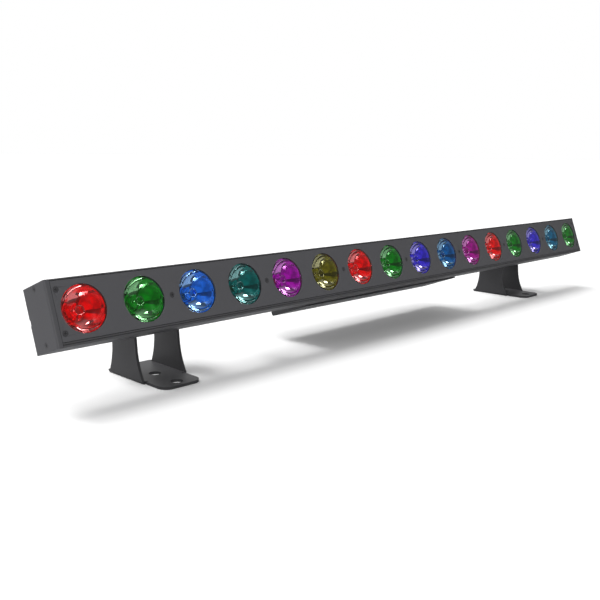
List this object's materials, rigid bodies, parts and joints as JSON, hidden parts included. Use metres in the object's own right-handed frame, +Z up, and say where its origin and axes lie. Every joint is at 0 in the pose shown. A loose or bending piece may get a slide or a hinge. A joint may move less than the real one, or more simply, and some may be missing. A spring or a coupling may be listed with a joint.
{
  "type": "led strip batten",
  "caption": "Stage batten: a black aluminium bar with a row of coloured round lenses, a driver box behind its middle, and folded steel floor brackets that it tilts on.",
  "frame": {"origin": "on the floor, under the middle of the part's box", "axes": "+X along the bar to its right end, +Y to its back, +Z up"},
  "size_m": [1.002, 0.1182, 0.1233],
  "materials": {
    "black_coat": "fine-textured black powder coat on aluminium",
    "panel_coat": "satin black powder coat on sheet",
    "bracket_coat": "satin black powder coat on steel",
    "screw_black": "black zinc-plated steel",
    "lens_red": "clear moulded acrylic over a red LED",
    "lens_green": "clear moulded acrylic over a green LED",
    "lens_blue": "clear moulded acrylic over a blue LED",
    "lens_teal": "clear moulded acrylic over a teal LED",
    "lens_magenta": "clear moulded acrylic over a magenta LED",
    "lens_olive": "clear moulded acrylic over a olive LED",
    "lens_violet": "clear moulded acrylic over a violet LED",
    "lens_azure": "clear moulded acrylic over a azure LED",
    "rubber_black": "moulded rubber",
    "plastic_black": "black moulded nylon",
    "board_white": "white solder mask on an aluminium-core board",
    "board_green": "green solder mask",
    "led_yellow": "clear silicone over LED dies",
    "bare_aluminium": "milled",
    "supply_case": "pressed sheet",
    "display_black": "glossy",
    "button_grey": "moulded",
    "power_blue": "moulded nylon",
    "power_grey": "moulded nylon",
    "socket_nickel": "satin nickel on a zinc casting",
    "release_steel": "pressed",
    "zinc_steel": "zinc-plated steel",
    "wire_black": "PVC sleeve"
  },
  "bodies": {
    "stand": {"floor_bracket_left": "bracket_coat", "floor_bracket_right": "bracket_coat"},
    "head": {"control_board": "board_green", "data_in_socket": "socket_nickel", "data_out_socket": "socket_nickel", "display_module": "plastic_black", "display_window": "display_black", "driver_box_cover": "black_coat", "driver_box_end_left": "black_coat", "driver_box_end_right": "black_coat", "driver_box_screws": "screw_black", "end_cap_left": "black_coat", "end_cap_right": "black_coat", "end_cap_screws": "screw_black", "end_gaskets": "rubber_black", "front_panel": "panel_coat", "front_panel_screws": "screw_black", "housing_extrusion": "black_coat", "led_board_1": "board_white", "led_board_2": "board_white", "led_board_3": "board_white", "led_board_4": "board_white", "led_emitters": "led_yellow", "led_harness": "wire_black", "lens_01": "lens_red", "lens_02": "lens_green", "lens_03": "lens_blue", "lens_04": "lens_teal", "lens_05": "lens_magenta", "lens_06": "lens_olive", "lens_07": "lens_red", "lens_08": "lens_green", "lens_09": "lens_violet", "lens_10": "lens_azure", "lens_11": "lens_magenta", "lens_12": "lens_red", "lens_13": "lens_green", "lens_14": "lens_violet", "lens_15": "lens_azure", "lens_16": "lens_green", "lens_holders": "plastic_black", "panel_standoffs": "bare_aluminium", "pivot_washers": "plastic_black", "power_in_socket": "power_blue", "power_out_socket": "power_grey", "power_supply": "supply_case", "saddle_left": "bracket_coat", "saddle_right": "bracket_coat", "saddle_screws": "zinc_steel", "safety_lug": "bracket_coat", "socket_screws": "screw_black"},
    "knob_1": {"tilt_knob_1": "plastic_black"},
    "knob_2": {"tilt_knob_2": "plastic_black"},
    "knob_3": {"tilt_knob_3": "plastic_black"},
    "knob_4": {"tilt_knob_4": "plastic_black"},
    "button_1": {"menu_button_1": "button_grey"},
    "button_2": {"menu_button_2": "button_grey"},
    "button_3": {"menu_button_3": "button_grey"},
    "button_4": {"menu_button_4": "button_grey"},
    "release": {"data_release_tab": "release_steel"}
  },
  "joints": [
    {"name": "head_tilt", "type": "hinge", "parent": "stand", "child": "head", "pos_m": [0, 0.02205, 0.07035], "axis": [-1, 0, 0], "range_deg": [-32, 70]},
    {"name": "knob_1_turn", "type": "hinge", "parent": "head", "child": "knob_1", "pos_m": [-0.36, 0.02205, 0.07035], "axis": [-1, 0, 0], "range_deg": [0, 360]},
    {"name": "knob_2_turn", "type": "hinge", "parent": "head", "child": "knob_2", "pos_m": [-0.36, 0.02205, 0.07035], "axis": [1, 0, 0], "range_deg": [0, 360]},
    {"name": "knob_3_turn", "type": "hinge", "parent": "head", "child": "knob_3", "pos_m": [0.36, 0.02205, 0.07035], "axis": [-1, 0, 0], "range_deg": [0, 360]},
    {"name": "knob_4_turn", "type": "hinge", "parent": "head", "child": "knob_4", "pos_m": [0.36, 0.02205, 0.07035], "axis": [1, 0, 0], "range_deg": [0, 360]},
    {"name": "button_1_press", "type": "slide", "parent": "head", "child": "button_1", "axis": [0, -0.9397, 0.342], "range_m": [0, 0.0008], "stiffness_N_per_m": 600},
    {"name": "button_2_press", "type": "slide", "parent": "head", "child": "button_2", "axis": [0, -0.9397, 0.342], "range_m": [0, 0.0008], "stiffness_N_per_m": 600},
    {"name": "button_3_press", "type": "slide", "parent": "head", "child": "button_3", "axis": [0, -0.9397, 0.342], "range_m": [0, 0.0008], "stiffness_N_per_m": 600},
    {"name": "button_4_press", "type": "slide", "parent": "head", "child": "button_4", "axis": [0, -0.9397, 0.342], "range_m": [0, 0.0008], "stiffness_N_per_m": 600},
    {"name": "release_press", "type": "slide", "parent": "head", "child": "release", "axis": [0, -0.342, -0.9397], "range_m": [0, 0.001], "stiffness_N_per_m": 800}
  ]
}
